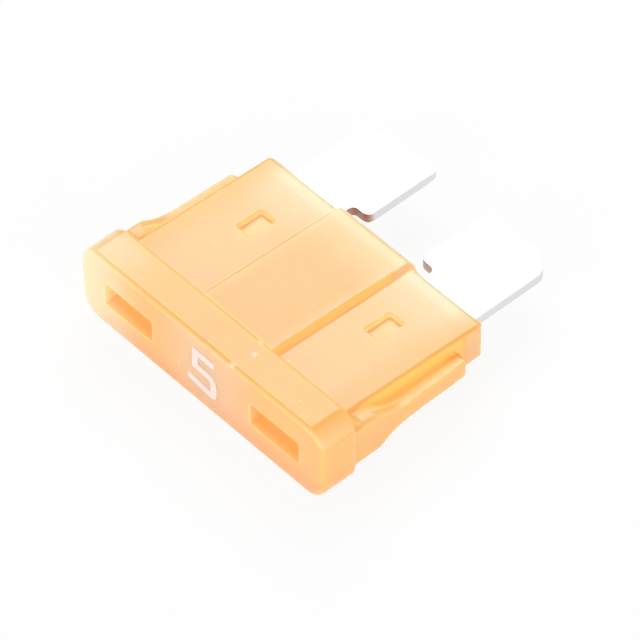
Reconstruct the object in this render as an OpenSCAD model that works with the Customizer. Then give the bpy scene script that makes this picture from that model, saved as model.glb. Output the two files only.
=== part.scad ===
// Plug-in blade fuse of the regular size: a moulded housing on a stamped metal element.
// It lies on the underside of its cap bar. X runs across the blades, Y from the cap bar
// to the blade tips and Z through the thickness. The origin is under the middle of the part.

/* [Cap bar] */
// Width of the cap bar, across both blades
cap_w = 19.1; // [18.8:0.1:22]
// Depth of the cap bar, from its printed face to its back
cap_depth = 2.5; // [2:0.1:3.5]
// Thickness of the cap bar
cap_h = 5.1; // [4.6:0.1:7]
// Radius of the cap bar's four end corners
cap_corner_r = 1.3; // [0.6:0.1:1.6]
// Rounding of the cap bar's edges
cap_edge_r = 0.3; // [0.1:0.05:0.5]

/* [Body] */
// Width of the body that covers the legs
body_w = 16.9; // [15.8:0.1:17.6]
// Length of the body, from the back of the cap bar to its open end
body_len = 10.2; // [9.6:0.1:13]
// Thickness of the body at the cap bar
body_h_root = 3.15; // [2.6:0.05:3.6]
// Thickness of the body at its open end, thinner by the moulding draft
body_h_end = 2.45; // [2:0.05:3]
// Radius of the body's end corners in plan
body_corner_r = 0.65; // [0.2:0.05:1]
// Rounding of the body's side edges
body_edge_r = 0.35; // [0.1:0.05:0.5]
// Rounding of the body's end edges
body_end_r = 0.5; // [0.2:0.05:0.55]

/* [Centre panel] */
// Width of the raised panel's flat top
panel_w = 5.45; // [4.6:0.05:7]
// Height of the panel above the body on each face
panel_rise = 0.4; // [0.2:0.05:0.5]
// How far each side wall of the panel spreads to its foot
panel_flare = 0.24; // [0.05:0.01:0.4]

/* [Side rails] */
// Width across both side rails at the cap bar
rail_root_w = 19; // [18.7:0.05:19.1]
// Width across both side rails at their ends
rail_w = 18.55; // [18.2:0.05:18.7]
// Length of the rails, from the back of the cap bar
rail_len = 8.2; // [6:0.1:9]
// Thickness of the rails
rail_t = 1.12; // [0.8:0.02:1.6]
// Thickness of the rails' ledge at the cap bar
rail_root_t = 2.8; // [2.2:0.05:3.1]
// Length of the ledge before it falls away
rail_ledge = 1; // [0.6:0.1:2]
// Radius of the crest where the ledge falls away
rail_crest_r = 1.8; // [0.5:0.1:3]
// Radius of the hollow that runs out along the rail
rail_hollow_r = 4.4; // [3:0.1:7]
// Radius of the rails' end corners in plan
rail_corner_r = 0.5; // [0.3:0.1:1]
// Radius of the rails' end corners in the side view
rail_tip_r = 0.35; // [0.1:0.05:0.4]
// Radius along the outer edges of the ledge
rail_edge_r = 0.45; // [0.1:0.05:0.6]
// Radius of the fillet between the ledge and the cap bar
rail_fillet_r = 0.8; // [0.2:0.05:0.9]

/* [Probe windows] */
// Width of each window in the printed face
window_w = 3.8; // [3.2:0.05:4]
// Height of each window
window_h = 1.6; // [1.2:0.05:2]
// Spacing of the two windows, centre to centre
window_pitch = 11.56; // [11.3:0.02:11.7]

/* [Link chamber] */
// Width of the chamber round the fusible link
chamber_w = 4.6; // [4:0.1:5]
// Height of the chamber
chamber_h = 1.9; // [1.2:0.1:2.2]
// Depth from the printed face to the chamber and the blade slot
chamber_depth = 3.1; // [2.8:0.1:3.8]

/* [Stakes] */
// Width of each stake
stake_w = 1.1; // [0.9:0.05:1.4]
// Length of each stake along the leg
stake_len = 1.8; // [1.2:0.05:2.4]
// Radius of the stake's corners towards the blade
stake_r = 0.2; // [0.1:0.05:0.45]
// Depth of the stake's dimple in the body
stake_depth = 0.35; // [0.15:0.05:0.45]
// Spacing of the two stakes, centre to centre
stake_pitch = 10.1; // [9.6:0.05:10.8]
// Distance of the stakes from the back of the cap bar
stake_reach = 6; // [4.5:0.1:7]
// Space between the two plugs that meet inside a leg's hole
stake_tip_gap = 0.15; // [0.1:0.05:0.3]

/* [Blades] */
// Width of each blade
blade_w = 5.2; // [4.8:0.1:5.4]
// Spacing of the two blades, centre to centre
blade_pitch = 9.3; // [9:0.1:9.4]
// Thickness of the metal
blade_t = 0.65; // [0.5:0.05:0.8]
// Length of the blades past the open end of the body
blade_len = 6.4; // [5.5:0.1:9]
// Width of the chamfer at each blade's outer tip corner
tip_cut_w = 1.35; // [0.5:0.05:2]
// Length of the chamfer at each blade's outer tip corner
tip_cut_len = 1.1; // [0.5:0.05:2]
// Radius that blends the chamfer into the edges beside it
tip_blend_r = 0.8; // [0.2:0.1:0.9]
// Radius of each blade's inner tip corner
tip_r = 0.4; // [0.2:0.05:0.8]
// Length of the coined lead-in at the tips
coin_len = 1.1; // [0.5:0.1:2]
// Depth of the coined lead-in on each face
coin_depth = 0.1; // [0.05:0.01:0.2]
// Depth of the notch in each inner edge, where the blade narrows to its leg
notch_depth = 1.15; // [0.9:0.05:1.3]
// Length of the notch past the open end of the body
notch_len = 1.15; // [1:0.05:2]
// Radius of the notch's hollow corner
notch_r = 0.35; // [0.2:0.05:0.4]
// Radius of the blade's shoulder beside the notch
shoulder_r = 0.4; // [0.2:0.05:0.45]

/* [Probe tabs] */
// Width of each tab inside its window
tab_w = 2.9; // [2:0.1:3]
// Depth of the tab's end below the printed face
tab_depth = 1.6; // [1.2:0.1:2.2]

/* [Fusible link] */
// Width of the link strip
link_w = 0.5; // [0.3:0.05:0.7]
// Thickness of the thinned link strip
link_t = 0.2; // [0.1:0.05:0.35]
// Radius of the arch, at the middle of the strip
link_arch_r = 1.2; // [0.9:0.05:1.4]
// Radius of the bends at the foot of the arch
link_foot_r = 0.6; // [0.4:0.05:0.7]
// Distance from the end of the chamber to the top of the arch
link_top_gap = 1; // [0.5:0.1:1.5]
// Height of the arch, from its top to the strips that join the legs
link_rise = 4.6; // [3.5:0.1:5]

/* [Fits] */
// Clearance of the element in its slot, on each face
slot_gap = 0.05; // [0.02:0.01:0.1]
// Clearance at the outer edges and inner ends of the legs
slot_side_gap = 0.1; // [0.05:0.01:0.2]
// Clearance of each stake plug in its hole
stake_gap = 0.12; // [0.05:0.01:0.2]

/* [Hidden] */
$fn = 64;

// Places along Y, counted from the printed face
body_end = cap_depth + body_len;
rail_end = cap_depth + rail_len;
stake_y = cap_depth + stake_reach;
tip_y = body_end + blade_len;
leg_y = chamber_depth + slot_side_gap;
root_y = cap_depth / 2;

// Places along X, counted from the middle
blade_out_x = (blade_pitch + blade_w) / 2;
blade_in_x = (blade_pitch - blade_w) / 2;
leg_in_x = blade_in_x + notch_depth;

// Rise of one face of the body for each millimetre along Y
draft = (body_h_end - body_h_root) / 2 / body_len;
draft_len = sqrt(1 + draft * draft);

// The rail's fall is two arcs that meet at one angle
rail_drop = (rail_root_t - rail_t) / 2;
rail_angle = acos(1 - rail_drop / (rail_crest_r + rail_hollow_r));
rail_crest_y = cap_depth + rail_ledge;
rail_turn_y = rail_crest_y + rail_crest_r * sin(rail_angle);
rail_turn_z = rail_root_t / 2 - rail_crest_r * (1 - cos(rail_angle));
rail_foot_y = rail_turn_y + rail_hollow_r * sin(rail_angle);

// The slot holds the element's full width and thickness
slot_w = 2 * (blade_out_x + slot_side_gap);
slot_h = blade_t + 2 * slot_gap;

// The arch of the link starts below the end of the chamber
link_top_y = chamber_depth + link_top_gap;
link_arch_y = link_top_y + link_w / 2 + link_arch_r;
link_strip_y = link_top_y + link_rise;
link_foot_y = link_strip_y - link_foot_r;
link_foot_x = link_arch_r + link_foot_r;

// A cut that opens a face starts this far outside it
past = 1;

// Half thickness of the body at a place along Y
function half_h(y) = body_h_root / 2 + draft * (y - cap_depth);

// Moves a shape drawn from the printed face and the middle of the thickness into the part's frame
module in_frame() {
    translate([0, -tip_y / 2, cap_h / 2]) children();
}

// Runs a section drawn in YZ across the width
module run_x(width) {
    rotate([90, 0, 90]) linear_extrude(width, center = true) children();
}

// Runs a section drawn in XZ from one place along Y to another
module run_y(y0, y1) {
    translate([0, y1, 0]) rotate([90, 0, 0]) linear_extrude(y1 - y0) children();
}

// Raises a plan drawn in XY through the thickness
module run_z(height) {
    linear_extrude(height, center = true) children();
}

// Repeats a shape on both sides of the middle
module both_sides() {
    children();
    mirror([1, 0, 0]) children();
}

// Repeats a shape on both faces
module both_faces() {
    children();
    mirror([0, 0, 1]) children();
}

// Rectangle about the origin with four round corners
module round_rect(w, h, r) {
    square([w, h - 2 * r], center = true);
    square([w - 2 * r, h], center = true);
    for (x = [-1, 1], y = [-1, 1])
        translate([x * (w / 2 - r), y * (h / 2 - r)]) circle(r);
}

// Rectangle from y0 to y1 about the middle, with its two far corners round
module tongue(w, y0, y1, r) {
    translate([-w / 2, y0]) square([w, y1 - y0 - r]);
    translate([r - w / 2, y0]) square([w - 2 * r, y1 - y0]);
    for (x = [-1, 1])
        translate([x * (w / 2 - r), y1 - r]) circle(r);
}

// Cap bar: round end corners, and all its edges rounded alike
module cap_bar() {
    corner_x = cap_w / 2 - cap_corner_r;
    corner_z = cap_h / 2 - cap_corner_r;
    translate([0, cap_depth / 2, 0]) {
        run_x(2 * corner_x) round_rect(cap_depth, cap_h, cap_edge_r);
        run_z(2 * corner_z) round_rect(cap_w, cap_depth, cap_edge_r);
        for (x = [-1, 1], z = [-1, 1])
            translate([x * corner_x, 0, z * corner_z]) rotate([90, 0, 0]) cap_corner();
    }
}

// Round end corner of the cap bar, as a disc with rounded rims
module cap_corner() {
    rotate_extrude() intersection() {
        round_rect(2 * cap_corner_r, cap_depth, cap_edge_r);
        translate([0, -cap_depth / 2]) square([cap_corner_r, cap_depth]);
    }
}

// Side view of the body, drafted on both faces, thicker by a rise on each
module drafted_side(rise) {
    rim_y = body_end - body_end_r;
    rim_z = half_h(rim_y) + rise - body_end_r * draft_len;
    touch_y = rim_y - body_end_r * draft / draft_len;
    touch_z = rim_z + body_end_r / draft_len;
    root_z = half_h(root_y) + rise;
    polygon([
        [root_y, root_z], [touch_y, touch_z], [body_end, rim_z],
        [body_end, -rim_z], [touch_y, -touch_z], [root_y, -root_z],
    ]);
    for (z = [-1, 1])
        translate([rim_y, z * rim_z]) circle(body_end_r);
}

// Runs a section along one drafted face, drawn from the middle of that face
module along_face() {
    translate([0, cap_depth, body_h_root / 2])
        rotate([atan(draft), 0, 0]) run_y(-root_y, body_len + past) children();
}

// Body over the legs, with its side edges rounded along both drafted faces
module wings() {
    intersection() {
        run_z(cap_h) tongue(body_w, root_y, body_end, body_corner_r);
        run_x(body_w) drafted_side(0);
        along_face() tongue(body_w, -cap_h, 0, body_edge_r);
        mirror([0, 0, 1]) along_face() tongue(body_w, -cap_h, 0, body_edge_r);
    }
}

// Raised panel over the link, its sloped walls following the draft
module centre_panel() {
    intersection() {
        run_x(body_w) drafted_side(panel_rise);
        both_faces() along_face() panel_section();
    }
}

// Section of the panel on one face, cut to its height by the side view
module panel_section() {
    top_x = panel_w / 2;
    polygon([
        [-top_x - 2 * panel_flare, -panel_rise], [top_x + 2 * panel_flare, -panel_rise],
        [top_x - panel_flare, 2 * panel_rise], [panel_flare - top_x, 2 * panel_rise],
    ]);
}

// Side view of a rail: a ledge at the cap bar that falls in an S to the thin rail
module rail_side() {
    translate([root_y, -rail_root_t / 2]) square([rail_crest_y - root_y, rail_root_t]);
    intersection() {
        translate([root_y, -rail_root_t / 2]) square([rail_turn_y - root_y, rail_root_t]);
        crest_side(1);
        crest_side(-1);
    }
    difference() {
        translate([root_y, -rail_turn_z]) square([rail_foot_y - root_y, 2 * rail_turn_z]);
        for (z = [-1, 1])
            translate([rail_foot_y, z * (rail_t / 2 + rail_hollow_r)]) circle(rail_hollow_r);
    }
    rotate(-90) tongue(rail_t, root_y, rail_end, rail_tip_r);
}

// Side view that the crest of one face bounds, the upper face for 1 and the lower for -1
module crest_side(face) {
    centre_z = rail_root_t / 2 - rail_crest_r;
    mirror([0, face < 0 ? 1 : 0]) {
        translate([rail_crest_y, centre_z]) circle(rail_crest_r);
        translate([root_y, centre_z - cap_h]) square([rail_turn_y - root_y, cap_h]);
    }
}

// Plan of both rails, narrowing from the cap bar to round end corners
module rail_plan() {
    taper = (rail_root_w - rail_w) / 2 / (rail_end - root_y);
    taper_len = sqrt(1 + taper * taper);
    corner_y = rail_end - rail_corner_r;
    corner_x = rail_w / 2 + taper * rail_corner_r - rail_corner_r * taper_len;
    touch_x = corner_x + rail_corner_r / taper_len;
    touch_y = corner_y + rail_corner_r * taper / taper_len;
    polygon([
        [-rail_root_w / 2, root_y], [rail_root_w / 2, root_y], [touch_x, touch_y],
        [corner_x, rail_end], [-corner_x, rail_end], [-touch_x, touch_y],
    ]);
    for (x = [-1, 1])
        translate([x * corner_x, corner_y]) circle(rail_corner_r);
}

// Rails along both sides of the body, with the ledge's outer edges rounded
module side_rails() {
    intersection() {
        run_z(cap_h) rail_plan();
        run_x(cap_w) rail_side();
        run_y(0, body_end) round_rect(cap_w, rail_root_t, rail_edge_r);
    }
}

// Fillets between the rails' ledges and the back of the cap bar
module rail_fillets() {
    fillet_y = cap_depth + rail_fillet_r;
    fillet_z = rail_root_t / 2 + rail_fillet_r;
    flat_w = cap_w - 2 * cap_edge_r;
    flat_h = cap_h - 2 * cap_edge_r;
    difference() {
        intersection() {
            run_z(cap_h) rail_plan();
            run_y(0, fillet_y) round_rect(flat_w, flat_h, cap_corner_r - cap_edge_r);
            run_x(cap_w) translate([root_y, -fillet_z]) square([fillet_y - root_y, 2 * fillet_z]);
        }
        for (z = [-1, 1])
            run_x(cap_w) translate([fillet_y, z * fillet_z]) circle(rail_fillet_r);
        run_z(cap_h) tongue(body_w, root_y, body_end, body_corner_r);
    }
}

// Plan of a stake, larger all round by a gap
module stake_plan(gap) {
    translate([stake_pitch / 2, stake_y])
        tongue(stake_w + 2 * gap, -stake_len / 2 - gap, stake_len / 2 + gap, stake_r);
}

// Windows, blade slot and link chamber
module inner_space() {
    both_sides()
        translate([window_pitch / 2, 0, 0])
            run_y(-past, chamber_depth + past) square([window_w, window_h], center = true);
    run_y(chamber_depth, body_end + past) square([slot_w, slot_h], center = true);
    run_y(chamber_depth, body_end + past) square([chamber_w, chamber_h], center = true);
}

// Dimples that the staking punch leaves in both faces
module stake_dimples() {
    both_sides() both_faces()
        translate([0, 0, half_h(stake_y) - stake_depth]) linear_extrude(cap_h) stake_plan(0);
}

// Plugs that the punch drives into the legs' holes
module stake_plugs() {
    root_z = (half_h(stake_y) - stake_depth + slot_h / 2) / 2;
    both_sides() both_faces()
        translate([0, 0, stake_tip_gap / 2]) linear_extrude(root_z - stake_tip_gap / 2) stake_plan(0);
}

// Housing: one moulding, open at the blade end
module housing() {
    color([0.98, 0.74, 0.42]) in_frame() {
        difference() {
            union() {
                cap_bar();
                wings();
                centre_panel();
                side_rails();
                rail_fillets();
            }
            inner_space();
            stake_dimples();
        }
        stake_plugs();
    }
}

// Plan of one blade from its notch to its tip
module blade_plan() {
    shoulder_y = body_end + notch_len;
    // The chamfer turns out of the outer edge by one angle and into the tip by the rest
    turn = atan2(tip_cut_w, tip_cut_len);
    along = [-sin(turn), cos(turn)];
    low = [blade_out_x, tip_y - tip_cut_len];
    high = [blade_out_x - tip_cut_w, tip_y];
    low_run = tip_blend_r * tan(turn / 2);
    high_run = tip_blend_r * tan((90 - turn) / 2);
    polygon([
        [blade_in_x + shoulder_r, shoulder_y], [blade_out_x, shoulder_y], low - [0, low_run],
        low + low_run * along, high - high_run * along, high - [high_run, 0],
        [blade_in_x + tip_r, tip_y], [blade_in_x, tip_y - tip_r], [blade_in_x, shoulder_y + shoulder_r],
    ]);
    translate(low - [tip_blend_r, low_run]) circle(tip_blend_r);
    translate(high - [high_run, tip_blend_r]) circle(tip_blend_r);
    translate([blade_in_x + tip_r, tip_y - tip_r]) circle(tip_r);
    translate([blade_in_x + shoulder_r, shoulder_y + shoulder_r]) circle(shoulder_r);
}

// Plan of one leg with its stake hole and the probe tab at its end
module leg_plan() {
    difference() {
        union() {
            translate([leg_in_x, leg_y]) square([blade_out_x - leg_in_x, tip_y - leg_y - blade_len / 2]);
            translate([(window_pitch - tab_w) / 2, tab_depth]) square([tab_w, leg_y - tab_depth + past]);
            notch_fillet();
        }
        stake_plan(stake_gap);
    }
}

// Metal left in the hollow corner between the notch and the blade
module notch_fillet() {
    shoulder_y = body_end + notch_len;
    difference() {
        translate([leg_in_x - notch_r, shoulder_y - notch_r]) square([2 * notch_r, 2 * notch_r]);
        translate([leg_in_x - notch_r, shoulder_y - notch_r]) circle(notch_r);
    }
}

// Side view of the element, coined thinner at the blade tips
module element_side() {
    full = blade_t / 2;
    thin = full - coin_depth;
    polygon([
        [0, full], [tip_y - coin_len, full], [tip_y, thin],
        [tip_y, -thin], [tip_y - coin_len, -full], [0, -full],
    ]);
}

// Plan of the link's right half: half an arch, a straight run, a bend and a strip into the leg
module link_plan() {
    half = link_w / 2;
    intersection() {
        translate([0, link_arch_y]) ring(link_arch_r);
        translate([0, link_top_y]) square([link_arch_r + link_w, link_arch_y - link_top_y]);
    }
    translate([link_arch_r - half, link_arch_y]) square([link_w, link_foot_y - link_arch_y]);
    intersection() {
        translate([link_foot_x, link_foot_y]) ring(link_foot_r);
        translate([link_arch_r - half, link_foot_y]) square([link_foot_r + half, link_foot_r + half]);
    }
    translate([link_foot_x, link_strip_y - half]) square([leg_in_x + link_w - link_foot_x, link_w]);
}

// Ring of the link strip's width
module ring(r) {
    difference() {
        circle(r + link_w / 2);
        circle(r - link_w / 2);
    }
}

// Fuse element: two blades, their legs and tabs, and the thin link, from one strip
module fuse_element() {
    color([0.86, 0.87, 0.88]) in_frame() {
        intersection() {
            run_x(cap_w) element_side();
            both_sides() run_z(cap_h) {
                blade_plan();
                leg_plan();
            }
        }
        both_sides() run_z(link_t) link_plan();
    }
}

housing();
fuse_element();
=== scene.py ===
# %% [markdown]
# This lesson dresses a plug-in blade fuse, a moulded amber housing on a stamped metal element.
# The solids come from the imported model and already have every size, so they are loaded first
# and never moved. Their box is kept, because the dressed part has to stay inside it.

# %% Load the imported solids
from math import cos, pi, radians, sin

import bpy
from mathutils import Matrix, Vector


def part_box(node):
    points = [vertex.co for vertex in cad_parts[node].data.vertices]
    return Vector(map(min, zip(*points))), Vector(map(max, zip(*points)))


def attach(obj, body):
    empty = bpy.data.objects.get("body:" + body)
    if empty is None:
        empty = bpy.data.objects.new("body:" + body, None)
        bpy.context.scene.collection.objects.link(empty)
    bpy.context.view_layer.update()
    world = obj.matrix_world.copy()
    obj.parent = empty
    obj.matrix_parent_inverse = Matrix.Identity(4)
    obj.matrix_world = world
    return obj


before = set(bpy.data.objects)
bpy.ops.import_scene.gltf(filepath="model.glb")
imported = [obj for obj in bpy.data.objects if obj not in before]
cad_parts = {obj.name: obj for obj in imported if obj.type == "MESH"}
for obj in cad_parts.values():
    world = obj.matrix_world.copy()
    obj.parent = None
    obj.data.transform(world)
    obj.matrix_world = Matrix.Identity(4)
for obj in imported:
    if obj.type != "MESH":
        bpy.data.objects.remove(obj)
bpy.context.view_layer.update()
MM = 0.001
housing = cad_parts["housing"]
fuse_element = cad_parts["fuse_element"]
print("solids:", sorted(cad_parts))

# %% [markdown]
# The camera comes next, so that each later step can be judged in the same view. The picture was
# taken with a long lens from above the cap's right end, so the part hardly narrows with distance.
# A camera is a turn and a place: three directions (right, up and back) make the turn.

# %% Camera
VIEW_AZIMUTH = radians(48.26)
VIEW_ELEVATION = radians(47.84)
VIEW_ROLL = radians(-0.71)
VIEW_DISTANCE = 301.1 * MM
AIM_POINT = Vector((1.515, -2.413, 2.55)) * MM
LENS_MM = 320.4
SENSOR_MM = 36.0


def place_camera(name):
    """Adds a camera that looks at the aim point from the given angles."""
    back = Vector((
        sin(VIEW_AZIMUTH) * cos(VIEW_ELEVATION),
        -cos(VIEW_AZIMUTH) * cos(VIEW_ELEVATION),
        sin(VIEW_ELEVATION),
    ))
    level = Vector((cos(VIEW_AZIMUTH), sin(VIEW_AZIMUTH), 0))
    upright = back.cross(level)
    right = cos(VIEW_ROLL) * level + sin(VIEW_ROLL) * upright
    up = cos(VIEW_ROLL) * upright - sin(VIEW_ROLL) * level
    bpy.ops.object.camera_add()
    camera = bpy.context.object
    camera.name = name
    camera.matrix_world = (
        Matrix.Translation(AIM_POINT + VIEW_DISTANCE * back)
        @ Matrix((right, up, back)).transposed().to_4x4()
    )
    camera.data.lens = LENS_MM
    camera.data.sensor_width = SENSOR_MM
    camera.data.clip_start = 10 * MM
    camera.data.clip_end = 10
    return camera


camera = place_camera("catalogue_camera")
bpy.context.scene.camera = camera
bpy.context.scene.view_settings.view_transform = "Standard"
print("camera at", [round(x / MM, 1) for x in camera.location], "mm")

# %% [markdown]
# Every material below is a few nodes and the wires between them. Two small helpers keep that
# readable: one adds a node and fills in its sockets, one starts a material with its shader.

# %% Node helpers
def add_node(tree, kind, links=None, **values):
    """Adds a node, sets its options or unlinked sockets by name, and wires the given sockets."""
    node = tree.nodes.new(kind)
    for name, value in values.items():
        setattr(node, name, value)
    for socket, source in (links or {}).items():
        target = node.inputs[socket]
        if hasattr(source, "is_output"):
            tree.links.new(source, target)
        else:
            target.default_value = source
    return node


def start_material(name):
    """A fresh material, with its node tree, output and Principled shader."""
    material = bpy.data.materials.new(name)
    material.use_nodes = True
    tree = material.node_tree
    return material, tree, tree.nodes["Material Output"], tree.nodes["Principled BSDF"]


def give_material(piece, material):
    """Puts one material on a piece, in place of any that it came with."""
    piece.data.materials.clear()
    piece.data.materials.append(material)


print("helpers ready")

# %% [markdown]
# A catalogue picture stands the part on a white table in a white room. The table and the room
# look white to the camera, in mirrors and through clear plastic, while the light that they send
# to the part stays at a plain level. Light Path tells those rays apart.

# %% White table and room
ROOM_FILL = 0.55
TABLE_SIZE = 3.0
TABLE_COLOUR = (0.92, 0.92, 0.92, 1)
TABLE_GLOW = 0.9


def seen_directly(tree):
    """1 for the rays of the camera, of reflections and of refractions, and 0 for the rest."""
    path = add_node(tree, "ShaderNodeLightPath")
    mirrored = add_node(
        tree, "ShaderNodeMath",
        {0: path.outputs["Is Camera Ray"], 1: path.outputs["Is Glossy Ray"]},
        operation="MAXIMUM",
    )
    through = add_node(
        tree, "ShaderNodeMath",
        {0: mirrored.outputs[0], 1: path.outputs["Is Transmission Ray"]},
        operation="MAXIMUM",
    )
    return through.outputs[0]


world = bpy.data.worlds.new("white_room")
world.use_nodes = True
bpy.context.scene.world = world
room = world.node_tree
room_level = add_node(
    room, "ShaderNodeMapRange",
    {"Value": seen_directly(room), "To Min": ROOM_FILL, "To Max": 1.0},
)
room.nodes["Background"].inputs["Color"].default_value = (1, 1, 1, 1)
room.links.new(room_level.outputs["Result"], room.nodes["Background"].inputs["Strength"])

bpy.ops.object.select_all(action="DESELECT")
bpy.ops.mesh.primitive_plane_add(size=TABLE_SIZE)
table = bpy.context.object
table.name = "white_table"

table_white, tree, output, paint = start_material("white_table")
paint.inputs["Base Color"].default_value = TABLE_COLOUR
paint.inputs["Roughness"].default_value = 0.9
paint.inputs["Specular IOR Level"].default_value = 0.1
glow = add_node(tree, "ShaderNodeEmission", {"Color": (1, 1, 1, 1), "Strength": 1.0})
share = add_node(
    tree, "ShaderNodeMath", {0: seen_directly(tree), 1: TABLE_GLOW}, operation="MULTIPLY",
)
both = add_node(
    tree, "ShaderNodeMixShader",
    {0: share.outputs[0], 1: paint.outputs["BSDF"], 2: glow.outputs["Emission"]},
)
tree.links.new(both.outputs["Shader"], output.inputs["Surface"])
give_material(table, table_white)
print("table and room are white")

# %% [markdown]
# One strong softbox stands behind the left shoulder, where the upper faces mirror it into the
# camera, so they take on its white sheen. Two large weak ones stand low in front and at the right,
# because the upright faces would go dull without them. Each power is worked out from the
# brightness it adds to a white surface that faces it, so a colour renders about as it is written.

# %% Softboxes
def softbox(name, place, size, brightness):
    """An area lamp at a place in millimetres, turned to the part, adding that much to white."""
    spot = Vector(place) * MM
    bpy.ops.object.light_add(type="AREA", location=spot)
    lamp = bpy.context.object
    lamp.name = name
    lamp.data.shape = "DISK"
    lamp.data.size = size * MM
    lamp.data.energy = brightness * pi ** 2 * (spot - AIM_POINT).length_squared
    lamp.rotation_euler = (spot - AIM_POINT).to_track_quat("Z", "Y").to_euler()
    return lamp


softboxes = (
    softbox("key_softbox", (-123, 111, 183), 160, 0.45),
    softbox("front_softbox", (40, -200, 60), 180, 0.36),
    softbox("right_softbox", (200, -10, 60), 180, 0.3),
)
print("softboxes:", [round(x.data.energy, 3) for x in softboxes], "W")

# %% [markdown]
# The moulded housing has no knife-sharp edge: the tool's own corners are a tenth of a millimetre
# round. Bevelling so many joining edges by hand tears at the corners. A fine even skin that is
# relaxed a little rounds all of them alike, and then the flat areas give their spare faces back.
# The modifiers stay live, so the solid's own mesh is left as it is. The skin also sinks by a
# hair, which leaves room for the ink inside the solid's box.

# %% Soft edges
INK_ROOM = 0.01 * MM
HOUSING_SKIN = {"voxel": 0.06 * MM, "rounds": 3, "keep": 0.28, "sink": 1.1 * INK_ROOM}
ELEMENT_SKIN = {"voxel": 0.05 * MM, "rounds": 3, "keep": 0.35, "sink": 0.1 * INK_ROOM}


def soften_edges(node, voxel, rounds, keep, sink):
    """Rounds a solid's sharp edges and sinks its skin with live modifiers."""
    weld = node.modifiers.new("joined_faces", "WELD")
    weld.merge_threshold = 0.001 * MM
    skin = node.modifiers.new("even_skin", "REMESH")
    skin.mode = "VOXEL"
    skin.voxel_size = voxel
    skin.use_smooth_shade = True
    relax = node.modifiers.new("relaxed_edges", "SMOOTH")
    relax.factor = 0.5
    relax.iterations = rounds
    drop = node.modifiers.new("sunk_skin", "DISPLACE")
    drop.direction = "NORMAL"
    drop.mid_level = 0
    drop.strength = -sink
    thin = node.modifiers.new("fewer_faces", "DECIMATE")
    thin.ratio = keep
    flat = node.modifiers.new("flat_faces", "WEIGHTED_NORMAL")
    flat.mode = "FACE_AREA"
    shown = node.evaluated_get(bpy.context.evaluated_depsgraph_get()).data
    print(node.name, "has", sum(len(p.vertices) - 2 for p in shown.polygons), "triangles")


soften_edges(housing, **HOUSING_SKIN)
soften_edges(fuse_element, **ELEMENT_SKIN)

# %% [markdown]
# Handling leaves the same marks on plastic, metal and ink: cloudy patches, a fine grain and a few
# scuffs. They are one node group with its own scales in each material. It measures in
# millimetres, because the part is so small that metres would hide every pattern.

# %% Surface wear group
def make_wear_group():
    """A node group that turns a place in millimetres into mottle, grain and scuffs."""
    group = bpy.data.node_groups.new("surface_wear", "ShaderNodeTree")
    face = group.interface
    face.new_socket("Place", in_out="INPUT", socket_type="NodeSocketVector")
    for name, start in (("Mottle Scale", 0.3), ("Grain Scale", 12.0), ("Scuff Scale", 1.2)):
        socket = face.new_socket(name, in_out="INPUT", socket_type="NodeSocketFloat")
        socket.default_value = start
    for name in ("Mottle", "Grain", "Scuffs"):
        face.new_socket(name, in_out="OUTPUT", socket_type="NodeSocketFloat")
    given = group.nodes.new("NodeGroupInput")
    made = group.nodes.new("NodeGroupOutput")
    mottle = add_node(
        group, "ShaderNodeTexNoise",
        {"Vector": given.outputs["Place"], "Scale": given.outputs["Mottle Scale"], "Detail": 3.0},
    )
    grain = add_node(
        group, "ShaderNodeTexNoise",
        {"Vector": given.outputs["Place"], "Scale": given.outputs["Grain Scale"], "Detail": 4.0},
    )
    bent = add_node(
        group, "ShaderNodeTexNoise",
        {"Vector": given.outputs["Place"], "Scale": given.outputs["Scuff Scale"],
         "Detail": 6.0, "Roughness": 0.7, "Distortion": 1.5},
    )
    scuffs = add_node(
        group, "ShaderNodeMapRange",
        {"Value": bent.outputs["Fac"], "From Min": 0.62, "From Max": 0.78},
    )
    group.links.new(mottle.outputs["Fac"], made.inputs["Mottle"])
    group.links.new(grain.outputs["Fac"], made.inputs["Grain"])
    group.links.new(scuffs.outputs["Result"], made.inputs["Scuffs"])
    return group


surface_wear = make_wear_group()


def wear_nodes(tree, stretch=(1, 1, 1), **scales):
    """Places the wear group in a material, reading the piece's own coordinates in millimetres."""
    place = add_node(tree, "ShaderNodeTexCoord")
    mm = add_node(
        tree, "ShaderNodeMapping",
        {"Vector": place.outputs["Object"], "Scale": [s / MM for s in stretch]},
    )
    wear = add_node(tree, "ShaderNodeGroup", node_tree=surface_wear)
    for name, value in scales.items():
        wear.inputs[name.replace("_", " ")].default_value = value
    tree.links.new(mm.outputs["Vector"], wear.inputs["Place"])
    return wear


print("wear group has", len(surface_wear.nodes), "nodes")

# %% [markdown]
# The housing is a tinted, frosted clear plastic. Light goes in, scatters and comes out a few
# millimetres on, so the whole housing glows and its recesses turn deep amber. Plain paint would
# look dead, and clear glass would show too much, so the shader is mostly scattering and part
# glass. Much of what the light does is also painted into the colour, and to say where, the shader
# needs masks: soft steps along the part's own millimetres, and the direction in which a face
# points.

# %% Masks of place and direction
def blend_math(tree, operation, first, second=0.0):
    """One Math node on two values or sockets."""
    return add_node(tree, "ShaderNodeMath", {0: first, 1: second}, operation=operation).outputs[0]


def fade(tree, value, start, stop):
    """A soft step from 0 at start to 1 at stop."""
    step = add_node(
        tree, "ShaderNodeMapRange",
        {"Value": value, "From Min": start, "From Max": stop},
        interpolation_type="SMOOTHSTEP",
    )
    return step.outputs["Result"]


def both_of(tree, *masks):
    """The product of several masks or shares."""
    made = masks[0]
    for mask in masks[1:]:
        made = blend_math(tree, "MULTIPLY", made, mask)
    return made


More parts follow.
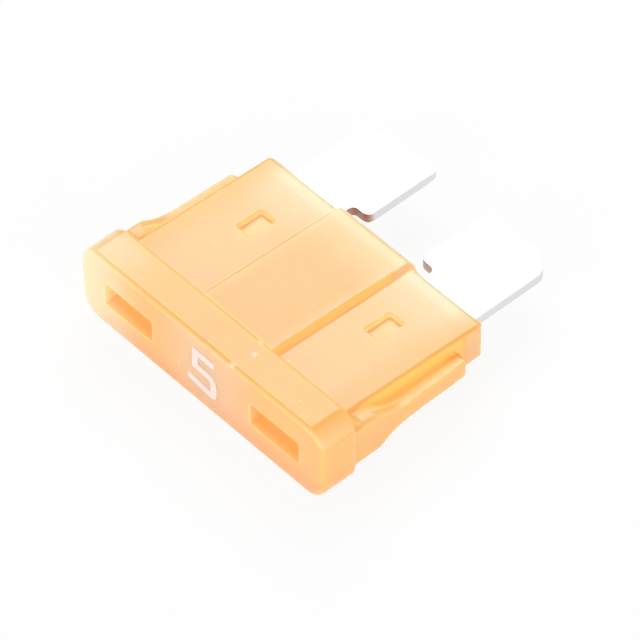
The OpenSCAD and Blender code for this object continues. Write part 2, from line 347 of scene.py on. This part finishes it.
def place_in_mm(tree):
    """The piece's own place in millimetres, as a vector and as X, Y and Z."""
    place = add_node(tree, "ShaderNodeTexCoord")
    mm = add_node(
        tree, "ShaderNodeVectorMath",
        {0: place.outputs["Object"], "Scale": 1 / MM},
        operation="SCALE",
    ).outputs["Vector"]
    return mm, add_node(tree, "ShaderNodeSeparateXYZ", {0: mm}).outputs


def direction(tree):
    """The X, Y and Z of the way a face points."""
    facing = add_node(tree, "ShaderNodeNewGeometry")
    return add_node(tree, "ShaderNodeSeparateXYZ", {0: facing.outputs["Normal"]}).outputs


def between(tree, value, low, high, soft):
    """1 from low to high, fading to 0 outside."""
    return both_of(tree, fade(tree, value, low - soft, low), fade(tree, value, high + soft, high))


print("masks ready")

# %% [markdown]
# The plastic is one amber, but light changes it from place to place, and here that light and shade
# are painted into its colour. It looks paler where white light gets in, deeper in the recesses as
# painted shade, pinker on the outer walls as a painted reflection of the white table, and darker
# low down on them. Each of these is a colour of its own here, and a mask then mixes it in by a
# share.

# %% Amber colours
AMBER = (1.0, 0.53, 0.13, 1)
CLOUDY_AMBER = (1.0, 0.5, 0.11, 1)
# The deep amber is painted shade on the walls deep in the probe windows.
SHADED_AMBER = (1.0, 0.48, 0.13, 1)
# The pale amber is painted light and sheen, for places where light gets into the plastic.
LIT_PALE_AMBER = (1.0, 0.9, 0.62, 1)
# The pink amber is painted: the white table's reflection on the outer walls, and painted light in
# the probe windows.
PAINTED_PINK_LIGHT = (1.0, 0.64, 0.44, 1)
# The low amber is painted shade, with a little of the table's pink reflection, low on the outer
# walls.
LOW_SHADE_AMBER = (1.0, 0.46, 0.22, 1)
WORN_WHITE = (1.0, 0.92, 0.78, 1)
NO_LIGHT = (0, 0, 0, 1)


def mixed(tree, share, first, second):
    """Two colours mixed by a share."""
    mix = add_node(tree, "ShaderNodeMix", {"Factor": share, 6: first, 7: second}, data_type="RGBA")
    return mix.outputs[2]


def size_of(tree, value):
    """A value without its sign, for what is alike on both sides of the part."""
    return blend_math(tree, "ABSOLUTE", value)


def rest_of(tree, mask, whole=1.0):
    """What a mask leaves of the whole."""
    return blend_math(tree, "SUBTRACT", whole, mask)


def most_of(tree, first, second):
    """The larger of two masks."""
    return blend_math(tree, "MAXIMUM", first, second)


print("ambers ready")

# %% [markdown]
# The upper faces are paler over the bright metal legs, on the rails and towards the open end.
# That paleness is painted light: the light that the legs and the open end send through the
# plastic, and a painted sheen on the rails and on the rounded rim of the open end. The places are
# in millimetres, each as the start and the stop of a soft step.

# %% Painted light on the upper faces
# Each share below is painted light or painted sheen on the upper faces.
LEG_INSIDE, LEG_OUTSIDE, LEG_START, LEG_SHARE = (1.9, 3.2), (7.9, 6.1), (-7.4, -6.6), 0.18
RAIL_ACROSS, RAIL_START, RAIL_SHARE = (8.6, 8.9), (-7.1, -6.9), 0.16
END_ACROSS, END_ALONG, END_SHARE = (8.6, 6.4), (-1.2, 2.9), 0.35
RIM_ALONG, RIM_SOFT, RIM_SHARE = (2.4, 2.7), 0.6, 0.2


def painted_light_places(tree, place, faces_up):
    """Shares of painted light over the legs and towards the open end, and of painted sheen on the
    rails and the rim.
    """
    across, along = size_of(tree, place["X"]), place["Y"]
    over_leg = both_of(
        tree, fade(tree, across, *LEG_INSIDE), fade(tree, across, *LEG_OUTSIDE),
        fade(tree, along, *LEG_START), LEG_SHARE,
    )
    rails = both_of(
        tree, fade(tree, across, *RAIL_ACROSS), fade(tree, along, *RAIL_START), RAIL_SHARE,
    )
    end = both_of(tree, fade(tree, along, *END_ALONG), END_SHARE)
    rim = both_of(tree, between(tree, along, *RIM_ALONG, RIM_SOFT), RIM_SHARE)
    late = both_of(tree, blend_math(tree, "ADD", end, rim), fade(tree, across, *END_ACROSS))
    return both_of(tree, blend_math(tree, "ADD", most_of(tree, over_leg, rails), late), faces_up)


print("pale places ready")

# %% [markdown]
# The outer walls are pinker, which is the white table's reflection painted into their colour,
# most of all in the middle of the printed face. The rounded edges of the cap are pale instead,
# with painted light for the light that leaks out of a thin edge.

# %% Painted reflection on the outer walls, painted light on the edges
# The pink shares below are a painted reflection of the white table, and the edge share is painted
# light.
SIDES_ACROSS, FRONT_ALONG, BACK_ALONG = (8.5, 9.0), (-8.9, -9.2), (1.3, 1.8)
PRINTED_MIDDLE, PRINTED_ACROSS, PRINTED_ALONG, FRONT_REFLECTION_SHARE = 0.5, (6.0, 0.5), (-9.2, -9.5), 0.65
END_PINK_ALONG, END_PINK, OUTER_PINK = (1.2, 2.0), 0.45, 0.2
EDGE_TILT, EDGE_SOFT, CAP_ALONG, CAP_EDGE_SHARE = (0.35, 0.85), 0.15, (-7.1, -7.6), 0.2


def outer_walls(tree, place, walls):
    """1 on the walls that face outwards, and 0 on those of the panel and the recesses."""
    sides = fade(tree, size_of(tree, place["X"]), *SIDES_ACROSS)
    ends = most_of(tree, fade(tree, place["Y"], *FRONT_ALONG), fade(tree, place["Y"], *BACK_ALONG))
    return both_of(tree, most_of(tree, sides, ends), walls)


def painted_reflection_places(tree, place, outer):
    """Shares of a painted pink reflection of the table in the middle of the printed face and on
    the other outer walls.
    """
    across = size_of(tree, blend_math(tree, "SUBTRACT", place["X"], PRINTED_MIDDLE))
    printed = both_of(
        tree, fade(tree, place["Y"], *PRINTED_ALONG), fade(tree, across, *PRINTED_ACROSS),
        FRONT_REFLECTION_SHARE,
    )
    end = both_of(tree, fade(tree, place["Y"], *END_PINK_ALONG), END_PINK)
    return both_of(tree, most_of(tree, printed, most_of(tree, end, OUTER_PINK)), outer)


def cap_edges(tree, place, towards, windows):
    """1 on the rounded edges of the cap, which painted light makes pale."""
    tilted = between(tree, size_of(tree, towards["Z"]), *EDGE_TILT, EDGE_SOFT)
    return both_of(tree, tilted, fade(tree, place["Y"], *CAP_ALONG), rest_of(tree, windows))


print("walls and edges ready")

# %% [markdown]
# The recesses are the probe windows, the dimples of the stakes, the grooves beside the rails and
# the inner corners. Light that has gone through the plastic gathers there, and it is painted in: a
# glow in all of them, paler walls in the dimples and a pink light in the windows, while the walls
# deep in the windows get a painted shade.

# %% Recesses
WINDOW_ACROSS, WINDOW_UP, WINDOW_SOFT = (3.85, 7.71), (1.72, 3.38), 0.1
WINDOW_ALONG, WINDOW_LIP = (-9.52, -6.4), 0.03
STAKE_ACROSS, STAKE_ALONG, STAKE_SOFT = (4.48, 5.62), (-1.97, -0.13), 0.04
STAKE_DEEP, MIDDLE_UP = (1.36, 1.2), 2.55
GROOVE_ACROSS, GROOVE_SOFT = (8.4, 8.85), 0.15
GROOVE_ALONG, GROOVE_FADE = (-5.0, -0.4), 1.6
FOOT_ACROSS, FOOT_SOFT, FOOT_START, FOOT_SHARE = (2.85, 3.05), 0.15, (-7.2, -7.0), 0.45
CAP_BACK, CAP_BACK_SOFT, CAP_BACK_ACROSS = (-7.05, -6.9), 0.25, (8.6, 8.2)


def in_windows(tree, place):
    """1 on the walls of the two probe windows."""
    return both_of(
        tree, between(tree, size_of(tree, place["X"]), *WINDOW_ACROSS, WINDOW_SOFT),
        between(tree, place["Z"], *WINDOW_UP, WINDOW_SOFT),
        between(tree, place["Y"], *WINDOW_ALONG, WINDOW_LIP),
    )


def in_stakes(tree, place):
    """1 in the dimples of the stakes."""
    up = size_of(tree, blend_math(tree, "SUBTRACT", place["Z"], MIDDLE_UP))
    return both_of(
        tree, between(tree, size_of(tree, place["X"]), *STAKE_ACROSS, STAKE_SOFT),
        between(tree, place["Y"], *STAKE_ALONG, STAKE_SOFT), fade(tree, up, *STAKE_DEEP),
    )


def in_grooves(tree, place):
    """1 in the two grooves between the body's sides and the outer edges of the rails."""
    return both_of(
        tree, between(tree, size_of(tree, place["X"]), *GROOVE_ACROSS, GROOVE_SOFT),
        between(tree, place["Y"], *GROOVE_ALONG, GROOVE_FADE),
    )


def in_seams(tree, place):
    """1 in the inner corner at the cap's back, and less at the foot of the panel's walls."""
    across = size_of(tree, place["X"])
    foot = both_of(
        tree, between(tree, across, *FOOT_ACROSS, FOOT_SOFT), fade(tree, place["Y"], *FOOT_START),
        FOOT_SHARE,
    )
    back = both_of(
        tree, between(tree, place["Y"], *CAP_BACK, CAP_BACK_SOFT),
        fade(tree, across, *CAP_BACK_ACROSS),
    )
    return most_of(tree, foot, back)


print("recesses ready")

# %% [markdown]
# The left end of the cap is whitish, mostly from painted light that falls from the left and
# partly from real rubbing, which also leaves faint flecks. The cap's edges have three small chips.
# A chip is a ball of a fraction of a millimetre, and noise makes its rim ragged.

# %% Painted light at the left end, and worn places
LIT_SCUFFED_ACROSS, LIT_SCUFFED_ALONG, LIT_SCUFFED_FACING = (-4.0, -9.2), (-6.9, -8.0), (2.2, 0.0)
# This share whitens the left end with painted light and some rubbing.
LIT_SCUFFED_SHARE = 0.8
FLECK_NOISE = {"Scale": 2.6, "Detail": 1.5, "Roughness": 0.5}
FLECK_STEP, FLECK_SHARE = (0.42, 0.75), 0.2
CHIPS = ((2.68, -8.05, 5.1), (2.46, -9.3, 5.0), (2.24, -7.2, 5.0))
CHIP_RIM, CHIP_RAGGED = (0.72, 0.42), 0.9


def lit_and_scuffed_end(tree, place, faces_up):
    """Near 1 on the left end of the cap, which painted light and some rubbing make whitish, and
    less on its upper face.
    """
    return both_of(
        tree, fade(tree, place["X"], *LIT_SCUFFED_ACROSS), fade(tree, place["Y"], *LIT_SCUFFED_ALONG),
        fade(tree, faces_up, *LIT_SCUFFED_FACING),
    )


def worn_places(tree, mm, lit_and_scuffed, windows):
    """Faint flecks of rubbing at the left end, and near 1 on the chips."""
    noise = add_node(tree, "ShaderNodeTexNoise", {"Vector": mm, **FLECK_NOISE}).outputs["Fac"]
    flecks = fade(tree, noise, *FLECK_STEP)
    worn = both_of(tree, flecks, lit_and_scuffed, rest_of(tree, windows), FLECK_SHARE)
    for chip in CHIPS:
        apart = add_node(tree, "ShaderNodeVectorMath", {0: mm, 1: chip}, operation="DISTANCE")
        ragged = blend_math(tree, "ADD", apart.outputs["Value"], both_of(tree, noise, CHIP_RAGGED))
        worn = most_of(tree, worn, fade(tree, ragged, *CHIP_RIM))
    return worn


print("worn places ready, with", len(CHIPS), "chips")

# %% [markdown]
# Now the masks meet. The order matters, because each mix covers the ones before it: the broad
# painted light, reflection and shade come first, then wear, then the painted light and shade of
# the recesses. A little of the colour is also given off as light, a painted glow which stands in
# for the light that the real plastic passes on.

# %% Amber with painted light by place
FACES_UP, WINDOW_DEEP, WINDOW_FACING = (0.5, 0.95), (-9.5, -8.4), (1.6, 0.4)
# The low share is painted shade low on the outer walls.
LOW_UP, LOW_SHADE_SHARE = (2.2, 0.3), 0.55
# The window pink and the stake share are painted light in those recesses.
WORN_SHARE, WORN_DULL, WINDOW_PINK_LIGHT, STAKE_LIGHT_SHARE = 0.5, 0.4, 0.35, 0.45
OUTER_GLOW, INNER_GLOW, STAKE_GLOW, SEAM_GLOW = 0.1, 0.3, 0.15, 0.28
WINDOW_GLOW, WINDOW_EDGE_GLOW = 0.47, 0.26


def amber_colour(tree, wear):
    """The plastic's colour with painted light, shade and reflection in it, its painted glow, and
    where its sheen is dull.
    """
    (mm, place), towards = place_in_mm(tree), direction(tree)
    faces_up = fade(tree, size_of(tree, towards["Z"]), *FACES_UP)
    walls = rest_of(tree, faces_up)
    outer = outer_walls(tree, place, walls)
    inner = rest_of(tree, outer, walls)
    windows, stakes = in_windows(tree, place), in_stakes(tree, place)
    grooves, seams = in_grooves(tree, place), in_seams(tree, place)
    lit_and_scuffed = lit_and_scuffed_end(tree, place, faces_up)
    worn = worn_places(tree, mm, lit_and_scuffed, windows)
    deep = both_of(
        tree, windows, fade(tree, place["Y"], *WINDOW_DEEP),
        fade(tree, size_of(tree, towards["X"]), *WINDOW_FACING),
    )
    colour = mixed(tree, wear.outputs["Mottle"], AMBER, CLOUDY_AMBER)
    # Only the mottle and the worn places are the plastic's own colour; the pink, low, pale and
    # deep ambers below are painted light, shade and reflection, with some real rubbing at the left
    # end.
    for mask, tone in (
        (painted_reflection_places(tree, place, outer), PAINTED_PINK_LIGHT),
        (both_of(tree, fade(tree, place["Z"], *LOW_UP), outer, LOW_SHADE_SHARE), LOW_SHADE_AMBER),
        (painted_light_places(tree, place, faces_up), LIT_PALE_AMBER),
        (both_of(tree, lit_and_scuffed, LIT_SCUFFED_SHARE), LIT_PALE_AMBER),
        (both_of(tree, cap_edges(tree, place, towards, windows), CAP_EDGE_SHARE), LIT_PALE_AMBER),
        (both_of(tree, worn, WORN_SHARE), WORN_WHITE),
        (both_of(tree, windows, WINDOW_PINK_LIGHT), PAINTED_PINK_LIGHT),
        (deep, SHADED_AMBER),
        (both_of(tree, stakes, inner, STAKE_LIGHT_SHARE), LIT_PALE_AMBER),
    ):
        colour = mixed(tree, mask, colour, tone)
    glow = 0.0
    for mask, share in (
        (deep, WINDOW_GLOW), (windows, WINDOW_EDGE_GLOW), (stakes, STAKE_GLOW), (seams, SEAM_GLOW),
        (grooves, INNER_GLOW), (inner, INNER_GLOW), (outer, OUTER_GLOW),
    ):
        glow = most_of(tree, glow, both_of(tree, mask, share))
    dull = most_of(tree, both_of(tree, worn, WORN_DULL), grooves)
    return colour, mixed(tree, glow, NO_LIGHT, colour), dull


print("amber by place ready")

# %% [markdown]
# Now the shader. The moulding is smooth enough to mirror the softboxes softly, and a fine grain
# and the scuffs break that sheen. The tint in the volume colours what is seen through the plastic.

# %% Amber plastic
AMBER_TINT = (1.0, 0.72, 0.3, 1)
TINT_STRENGTH = 100.0
SCUFF_DULL = 0.35


def amber_plastic():
    material, tree, output, plastic = start_material("amber_plastic")
    wear = wear_nodes(tree, Mottle_Scale=0.25, Grain_Scale=14.0, Scuff_Scale=0.9)
    colour, glow, dull = amber_colour(tree, wear)
    dull = most_of(tree, dull, both_of(tree, wear.outputs["Scuffs"], SCUFF_DULL))
    dulled = add_node(
        tree, "ShaderNodeMapRange", {"Value": dull, "To Min": 0.22, "To Max": 0.6},
    )
    dimples = add_node(
        tree, "ShaderNodeBump",
        {"Height": wear.outputs["Grain"], "Strength": 0.12, "Distance": 0.02 * MM},
    )
    tree.links.new(colour, plastic.inputs["Base Color"])
    tree.links.new(glow, plastic.inputs["Emission Color"])
    tree.links.new(dulled.outputs["Result"], plastic.inputs["Roughness"])
    tree.links.new(dimples.outputs["Normal"], plastic.inputs["Normal"])
    plastic.inputs["Emission Strength"].default_value = 1.0
    plastic.inputs["IOR"].default_value = 1.5
    plastic.inputs["Transmission Weight"].default_value = 0.12
    plastic.inputs["Subsurface Weight"].default_value = 1.0
    plastic.inputs["Subsurface Radius"].default_value = (1.0, 0.8, 0.6)
    plastic.inputs["Subsurface Scale"].default_value = 0.9 * MM
    tint = add_node(
        tree, "ShaderNodeVolumeAbsorption",
        {"Color": AMBER_TINT, "Density": TINT_STRENGTH},
    )
    tree.links.new(tint.outputs["Volume"], output.inputs["Volume"])
    return material


give_material(housing, amber_plastic())
print("housing wears", housing.data.materials[0].name)

# %% [markdown]
# The element is stamped from sheet and tinned. Its broad faces keep faint lines from the rolling
# mill, which run along the blades. The cut edges are torn metal under the tin, so they are greyer
# and rougher. The direction a face points in tells the two apart. The notch edges next to the
# housing mirror its amber, and that reflection, with painted shade, is painted into their colour.

# %% Tinned metal
TIN = (0.93, 0.93, 0.94, 1)
CUT_EDGE = (0.76, 0.77, 0.79, 1)
# The amber on the notch edges is a painted reflection of the housing, with painted shade.
AMBER_REFLECTION_SHADE = (0.5, 0.3, 0.22, 1)
ROLLING_STRETCH = (1, 0.06, 1)
NOTCH_ACROSS, NOTCH_ALONG, NOTCH_LEFT, NOTCH_LEAST = (3.8, 3.4), (4.9, 4.4), (1.0, -1.0), 0.55


def tinned_metal():
    material, tree, _, metal = start_material("tinned_metal")
    wear = wear_nodes(tree, ROLLING_STRETCH, Mottle_Scale=0.5, Grain_Scale=9.0, Scuff_Scale=1.4)
    facing = add_node(tree, "ShaderNodeNewGeometry")
    split = add_node(tree, "ShaderNodeSeparateXYZ", {0: facing.outputs["True Normal"]})
    is_cut = add_node(
        tree, "ShaderNodeMapRange",
        {"Value": size_of(tree, split.outputs["Z"]), "From Min": 0.35, "From Max": 0.8,
         "To Min": 1.0, "To Max": 0.0},
    ).outputs["Result"]
    place = place_in_mm(tree)[1]
    notch = both_of(
        tree, fade(tree, place["Y"], *NOTCH_ALONG),
        fade(tree, size_of(tree, place["X"]), *NOTCH_ACROSS), is_cut,
        most_of(tree, fade(tree, place["X"], *NOTCH_LEFT), NOTCH_LEAST),
    )
    tin_and_reflection = mixed(tree, notch, mixed(tree, is_cut, TIN, CUT_EDGE), AMBER_REFLECTION_SHADE)
    worn = most_of(tree, is_cut, wear.outputs["Scuffs"])
    dulled = add_node(
        tree, "ShaderNodeMapRange",
        {"Value": worn, "To Min": 0.28, "To Max": 0.45},
    )
    lines = add_node(
        tree, "ShaderNodeBump",
        {"Height": wear.outputs["Grain"], "Strength": 0.15, "Distance": 0.01 * MM},
    )
    tree.links.new(tin_and_reflection, metal.inputs["Base Color"])
    tree.links.new(dulled.outputs["Result"], metal.inputs["Roughness"])
    tree.links.new(lines.outputs["Normal"], metal.inputs["Normal"])
    metal.inputs["Metallic"].default_value = 1.0
    return material


give_material(fuse_element, tinned_metal())
print("element wears", fuse_element.data.materials[0].name)

# %% [markdown]
# The rating is a white 5 stamped on the end face in thick ink. It could be painted by a texture,
# but a stroke of ink has an edge that catches light, so it is modelled. The middle point of a
# plane is pulled along the figure's middle line, with more stops where the bowl turns round. Then
# the line is drawn out into a thin strip, and Solidify widens the strip to the pen's width.

# %% Rating figure
STROKE_LINE = (
    (1.16, 1.33), (-0.36, 1.37), (-0.38, 0.28), (0.6, 0.22), (0.86, 0.15), (1.02, -0.04),
    (1.06, -0.4), (1.05, -0.78), (0.98, -1.0), (0.8, -1.1), (-0.98, -0.83),
)
STROKE_WIDTH = 0.48 * MM
INK_BELOW = 0.03 * MM


def rating_figure():
    lowest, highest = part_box("housing")
    middle = (lowest.z + highest.z) / 2
    line = [Vector((x * MM, lowest.y, middle + z * MM)) for x, z in STROKE_LINE]
    bpy.ops.object.select_all(action="DESELECT")
    bpy.ops.mesh.primitive_plane_add(size=STROKE_WIDTH)
    figure = bpy.context.object
    figure.name = "rating_figure"
    bpy.ops.object.mode_set(mode="EDIT")
    bpy.ops.mesh.merge(type="CENTER")
    bpy.ops.transform.translate(value=line[0])
    for here, there in zip(line, line[1:]):
        bpy.ops.mesh.extrude_vertices_move(TRANSFORM_OT_translate={"value": there - here})
    bpy.ops.mesh.select_all(action="SELECT")
    bpy.ops.mesh.extrude_edges_move(
        TRANSFORM_OT_translate={"value": (0, INK_BELOW, 0)}
    )
    bpy.ops.mesh.select_all(action="SELECT")
    bpy.ops.mesh.normals_make_consistent(inside=False)
    bpy.ops.object.mode_set(mode="OBJECT")
    pen = figure.modifiers.new("pen_width", "SOLIDIFY")
    pen.thickness = STROKE_WIDTH
    pen.offset = 0
    pen.use_even_offset = True
    bpy.ops.object.modifier_apply(modifier=pen.name)
    bpy.ops.object.mode_set(mode="EDIT")
    bpy.ops.mesh.select_all(action="SELECT")
    bpy.ops.mesh.normals_make_consistent(inside=False)
    bpy.ops.object.mode_set(mode="OBJECT")
    return figure


rating = rating_figure()
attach(rating, "root")
print(rating.name, "has", len(rating.data.polygons), "faces")

# %% [markdown]
# Stamped ink is matt and a little thin in places, so the amber shows through where it is scuffed.

# %% White ink
INK_WHITE = (0.98, 0.83, 0.77, 1)
INK_THIN = (1.0, 0.72, 0.56, 1)


def white_ink():
    material, tree, _, ink = start_material("white_ink")
    wear = wear_nodes(tree, Mottle_Scale=1.5, Grain_Scale=10.0, Scuff_Scale=3.0)
    colour = mixed(tree, wear.outputs["Scuffs"], INK_WHITE, INK_THIN)
    rough = add_node(
        tree, "ShaderNodeMapRange",
        {"Value": wear.outputs["Mottle"], "To Min": 0.5, "To Max": 0.7},
    )
    tree.links.new(colour, ink.inputs["Base Color"])
    tree.links.new(rough.outputs["Result"], ink.inputs["Roughness"])
    return material


give_material(rating, white_ink())
print("figure wears", rating.data.materials[0].name)
